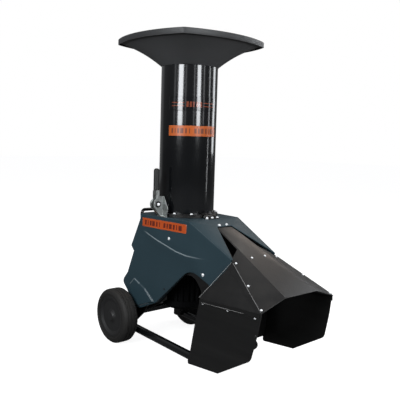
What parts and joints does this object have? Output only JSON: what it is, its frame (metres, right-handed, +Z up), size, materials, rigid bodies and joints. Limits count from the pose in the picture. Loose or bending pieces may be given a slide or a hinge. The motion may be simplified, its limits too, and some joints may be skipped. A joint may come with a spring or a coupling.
{
  "type": "garden shredder",
  "caption": "Wheeled electric garden shredder: a funnel and feed tube that tilt off the cutting chamber when the toggle clamp is open, above an angular body and a discharge hood.",
  "frame": {"origin": "Centre of the footprint of the bounding box, on the ground that the wheels and feet stand on", "axes": "+X is the front, where the chips come out; +Y is the machine's left; +Z is up, along the feed tube"},
  "size_m": [0.8088, 0.45, 1.1005],
  "materials": {
    "body_paint": "gloss",
    "black_gloss": "gloss",
    "black_sheet": "satin",
    "black_plastic": "matte",
    "rubber": "matte",
    "zinc": "satin",
    "steel": "satin",
    "motor_paint": "satin",
    "green_plastic": "gloss",
    "red_plastic": "gloss"
  },
  "bodies": {
    "chassis": {"axle_beam": "black_gloss", "axle_rod": "zinc", "base_frame": "black_gloss", "base_ring": "black_sheet", "chamber_drum": "black_sheet", "chassis_cheek_left": "black_sheet", "chassis_cheek_right": "black_sheet", "chute_floor": "black_sheet", "clamp_bar_pin": "zinc", "clamp_base": "zinc", "clamp_lever_pin": "zinc", "counter_knife": "steel", "cover_stay_left": "zinc", "cover_stay_right": "zinc", "deck_plate": "body_paint", "foot_left": "rubber", "foot_right": "rubber", "frame_bracket_left": "black_sheet", "frame_bracket_right": "black_sheet", "hinge_leaf_lower": "black_sheet", "hinge_pin": "zinc", "hood_back_left": "black_sheet", "hood_back_right": "black_sheet", "hood_facet_left": "black_sheet", "hood_facet_right": "black_sheet", "hood_side_left": "black_sheet", "hood_side_right": "black_sheet", "hood_top": "black_sheet", "motor_body": "motor_paint", "motor_end_shield": "motor_paint", "motor_fan_cover": "black_plastic", "motor_plate": "black_sheet", "power_inlet": "black_plastic", "rear_cover": "body_paint", "rear_handle": "black_gloss", "side_cover_left": "body_paint", "side_cover_right": "body_paint", "switch_box": "black_plastic", "terminal_box": "black_plastic"},
    "feed_tube": {"infeed_tube": "black_gloss", "tube_flange": "black_sheet", "funnel": "black_plastic", "hinge_leaf_upper": "black_sheet"},
    "latch_lever": {"clamp_lever": "zinc", "clamp_grip": "black_plastic"},
    "latch_bar": {"clamp_bar": "zinc", "clamp_spindle": "black_plastic"},
    "rotor": {"motor_shaft": "steel", "rotor_disc": "steel", "blade_1": "steel", "blade_2": "steel", "disc_bolt": "zinc"},
    "left_wheel": {"tyre_left": "rubber", "wheel_rim_left": "black_plastic"},
    "right_wheel": {"tyre_right": "rubber", "wheel_rim_right": "black_plastic"},
    "start_cap": {"start_button": "green_plastic"},
    "stop_cap": {"stop_button": "red_plastic"}
  },
  "joints": [
    {"name": "tube_tilt", "type": "hinge", "parent": "chassis", "child": "feed_tube", "pos_m": [-0.0099, 0, 0.4906], "axis": [0, 1, 0], "range_deg": [0, 90]},
    {"name": "clamp_release", "type": "hinge", "parent": "chassis", "child": "latch_lever", "pos_m": [-0.1304, -0.142, 0.529], "axis": [1, 0, 0], "range_deg": [0, 65]},
    {"name": "clamp_bar_swing", "type": "hinge", "parent": "chassis", "child": "latch_bar", "pos_m": [-0.1304, -0.124, 0.512], "axis": [1, 0, 0], "range_deg": [0, 97.5]},
    {"name": "rotor_spin", "type": "hinge", "parent": "chassis", "child": "rotor", "pos_m": [-0.1384, 0, 0.42], "axis": [0, 0, 1], "continuous": true},
    {"name": "left_wheel_spin", "type": "hinge", "parent": "chassis", "child": "left_wheel", "pos_m": [-0.3044, 0.1815, 0.1], "axis": [0, 1, 0], "continuous": true},
    {"name": "right_wheel_spin", "type": "hinge", "parent": "chassis", "child": "right_wheel", "pos_m": [-0.3044, -0.1815, 0.1], "axis": [0, 1, 0], "continuous": true},
    {"name": "start_press", "type": "slide", "parent": "chassis", "child": "start_cap", "axis": [0.9053, 0, -0.4248], "range_m": [0, 0.003], "stiffness_N_per_m": 400, "springref_m": -0.001},
    {"name": "stop_press", "type": "slide", "parent": "chassis", "child": "stop_cap", "axis": [0.9053, 0, -0.4248], "range_m": [0, 0.003], "stiffness_N_per_m": 400, "springref_m": -0.001}
  ],
  "couplings": [
    {"joint": "clamp_bar_swing", "follows": "clamp_release", "ratio": 1.5}
  ]
}
